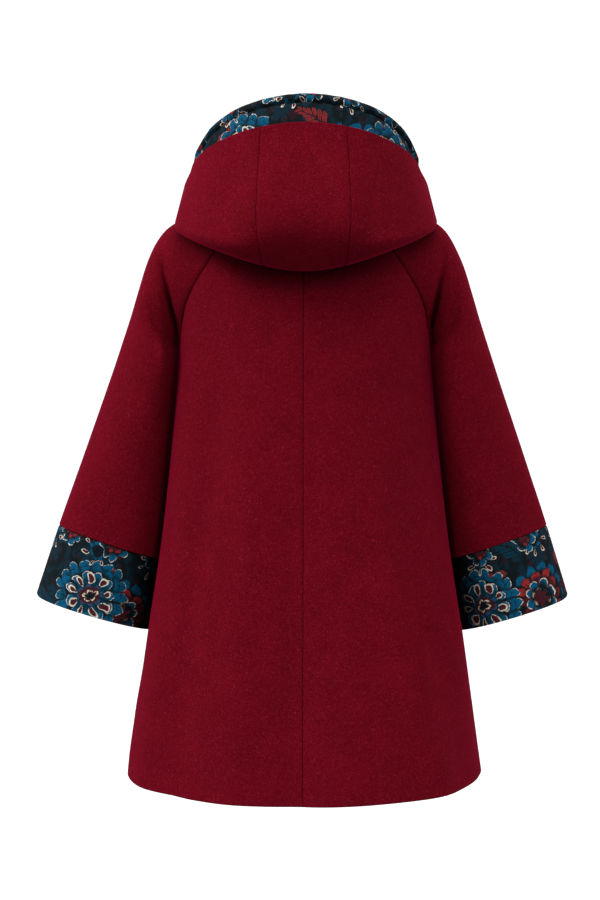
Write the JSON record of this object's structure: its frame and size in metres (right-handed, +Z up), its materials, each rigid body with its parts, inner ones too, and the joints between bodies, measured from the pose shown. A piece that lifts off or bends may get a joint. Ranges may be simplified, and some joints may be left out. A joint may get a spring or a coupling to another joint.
{
  "type": "hooded cardigan jacket",
  "caption": "A-line felted wool jacket with raglan sleeves, wide printed cuffs and a printed-lined hood thrown back, worn and hollow.",
  "frame": {"origin": "middle of the neckline, level with the neck seam at the centre back, where the wearer's neck holds the jacket", "axes": "+X to the wearer's left, the front faces -Y, +Z up"},
  "size_m": [0.76, 0.4048, 0.9451],
  "materials": {
    "wool": "matte felt",
    "print": "printed cotton"
  },
  "bodies": {
    "root": {"back_left": "wool", "back_right": "wool", "front_left": "wool", "front_right": "wool", "sleeve_back_left": "wool", "sleeve_front_left": "wool", "sleeve_back_right": "wool", "sleeve_front_right": "wool", "hood_left": "wool", "hood_centre": "wool", "hood_right": "wool", "cuff_left": "print", "cuff_right": "print", "hood_lining_left": "print", "hood_lining_centre": "print", "hood_lining_right": "print"}
  },
  "joints": []
}
